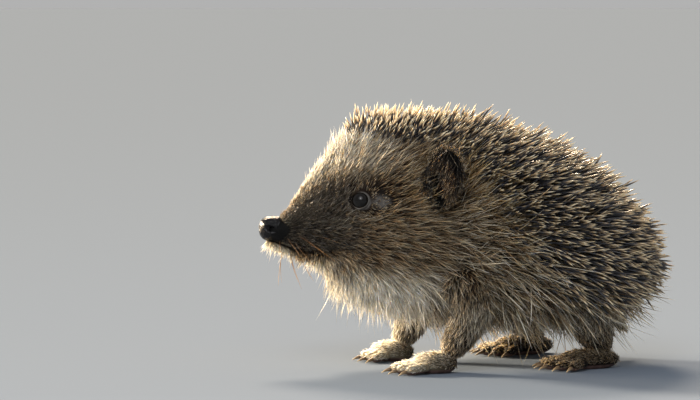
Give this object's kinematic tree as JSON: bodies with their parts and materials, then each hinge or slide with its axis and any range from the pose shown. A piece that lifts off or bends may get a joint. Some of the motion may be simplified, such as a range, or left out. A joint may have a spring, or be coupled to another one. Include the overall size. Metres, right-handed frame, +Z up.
{
  "type": "hedgehog",
  "caption": "Young European hedgehog standing still on four feet, head held out and turned to its right, with a rounded coat of spines over the back and a soft furred face and skirt.",
  "frame": {"origin": "on the floor, under the middle of the bounding box", "axes": "+X towards the rump, so the nose points to -X; -Y is the animal's left side; +Z up"},
  "size_m": [0.1304, 0.0916, 0.085],
  "materials": {
    "spines": "semi-gloss keratin spines with a cream base, a dark band and a cream tip, over dark skin",
    "fur": "coarse grey-brown hair with cream tips",
    "face_fur": "short velvety hair, charcoal on the muzzle, grey-brown round the eye and cream on the brow",
    "nose_skin": "wet black granular skin",
    "ear_skin": "thin dark skin with sparse grey hair",
    "eye": "wet, near-black",
    "paw_skin": "grey-brown skin with short hair on top and bare pads below",
    "claw": "brown horn, paler at the tips"
  },
  "bodies": {
    "root": {"trunk": "spines", "neck": "fur", "tail": "fur", "foreleg_left": "fur", "foreleg_right": "fur", "hindleg_left": "fur", "hindleg_right": "fur", "head": "face_fur", "lower_jaw": "face_fur", "nose": "nose_skin", "ear_left": "ear_skin", "ear_right": "ear_skin", "eye_left": "eye", "eye_right": "eye", "forepaw_left": "paw_skin", "forepaw_right": "paw_skin", "hindpaw_left": "paw_skin", "hindpaw_right": "paw_skin"}
  },
  "joints": []
}
